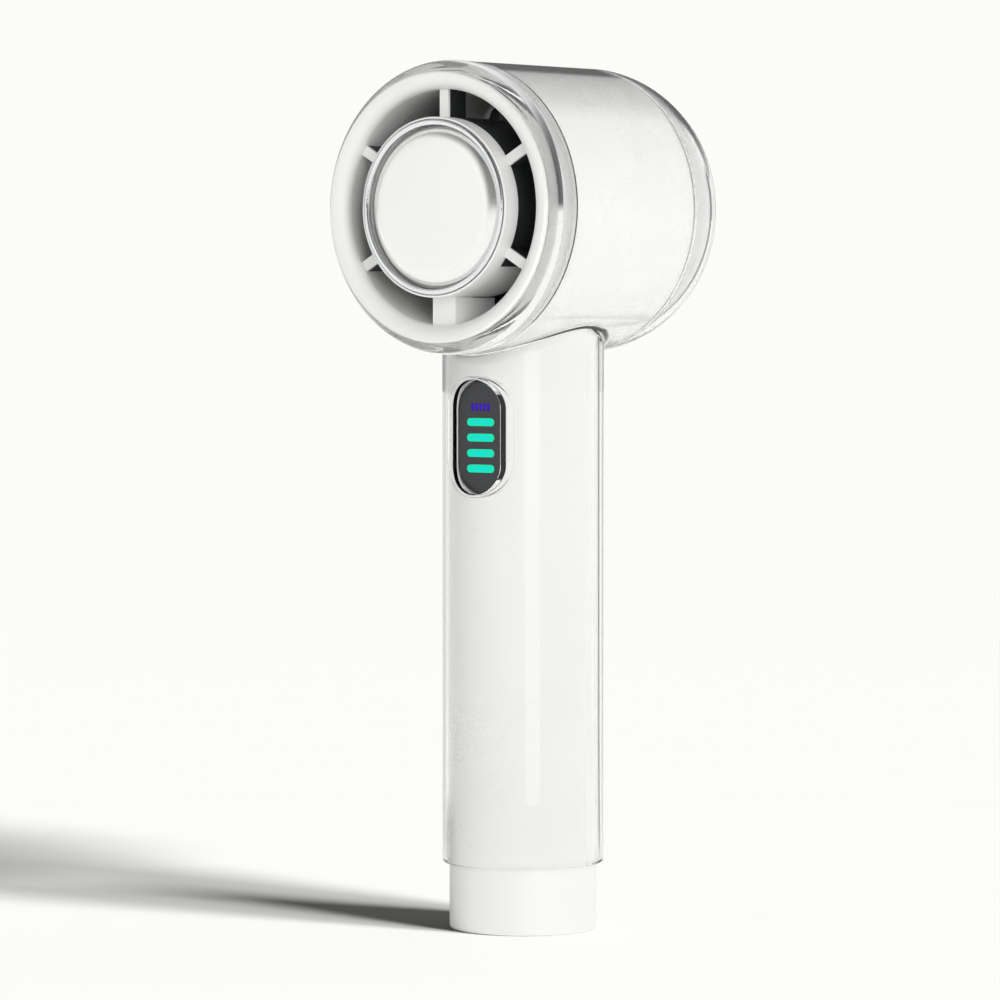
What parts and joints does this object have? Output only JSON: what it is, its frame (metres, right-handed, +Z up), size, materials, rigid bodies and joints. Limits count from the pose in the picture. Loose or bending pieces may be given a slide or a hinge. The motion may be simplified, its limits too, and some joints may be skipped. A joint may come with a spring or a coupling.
{
  "type": "handheld electric fan",
  "caption": "Cordless handheld electric fan: cylindrical ducted head on a clear-sleeved round handle with an illuminated press key and a flat base it stands on.",
  "frame": {"origin": "centre of the base's flat underside, below the middle of the head", "axes": "+Z up along the handle, air leaves the head towards -Y, +X to the right seen from the outlet side"},
  "size_m": [0.0668, 0.07, 0.2001],
  "materials": {
    "clear_plastic": "clear, polished",
    "gloss_white": "gloss",
    "matte_white": "matte",
    "satin_white": "satin",
    "chrome_trim": "polished",
    "charcoal_plastic": "satin",
    "cradle_plastic": "matte",
    "cast_aluminium": "cast",
    "bright_steel": "bright",
    "lamination_steel": "dull",
    "enamelled_copper": "enamelled",
    "magnet": "sintered",
    "black_steel": "black oxide",
    "circuit_board": "solder mask",
    "chip_plastic": "matte",
    "cell_wrap": "shrink wrap over a steel can",
    "nickel_strip": "bright",
    "foam": "foam",
    "gasket": "smooth",
    "lead_insulation": "smooth",
    "key_black": "satin",
    "light_teal": "lit",
    "light_violet": "lit"
  },
  "bodies": {
    "root": {"air_duct": "matte_white", "barrel_liner": "gloss_white", "base_cap": "matte_white", "battery_cell": "cell_wrap", "battery_cradle": "cradle_plastic", "battery_tabs": "nickel_strip", "board_parts": "chip_plastic", "cable_cover": "matte_white", "charge_board": "circuit_board", "charge_board_parts": "chip_plastic", "charge_leads": "lead_insulation", "clear_shell": "clear_plastic", "control_board": "circuit_board", "foam_pad": "foam", "front_bearing": "bright_steel", "front_bezel": "matte_white", "front_gasket": "gasket", "front_ring": "clear_plastic", "handle_tube": "gloss_white", "hub_cap": "satin_white", "hub_trim_ring": "chrome_trim", "motor_base": "cast_aluminium", "motor_board": "circuit_board", "motor_board_parts": "chip_plastic", "motor_leads": "lead_insulation", "motor_pod": "charcoal_plastic", "motor_screws": "black_steel", "outlet_guide": "matte_white", "pod_posts": "charcoal_plastic", "pod_screws": "black_steel", "rear_bearing": "bright_steel", "rear_cover": "clear_plastic", "rear_grille": "matte_white", "stator_coils": "enamelled_copper", "stator_core": "lamination_steel", "tact_switch": "chip_plastic", "usb_c_socket": "bright_steel"},
    "rotor": {"impeller": "charcoal_plastic", "rotor_cup": "bright_steel", "magnet_ring": "magnet", "motor_shaft": "bright_steel", "shaft_clip": "bright_steel"},
    "button": {"control_key": "key_black", "level_bars": "light_teal", "speed_display": "light_violet", "switch_plunger": "chip_plastic"}
  },
  "joints": [
    {"name": "rotor_spin", "type": "hinge", "parent": "root", "child": "rotor", "pos_m": [0, 0, 0.1667], "axis": [0, 1, 0], "continuous": true},
    {"name": "button_press", "type": "slide", "parent": "root", "child": "button", "axis": [0, 1, 0], "range_m": [0, 0.0005], "stiffness_N_per_m": 3000}
  ]
}
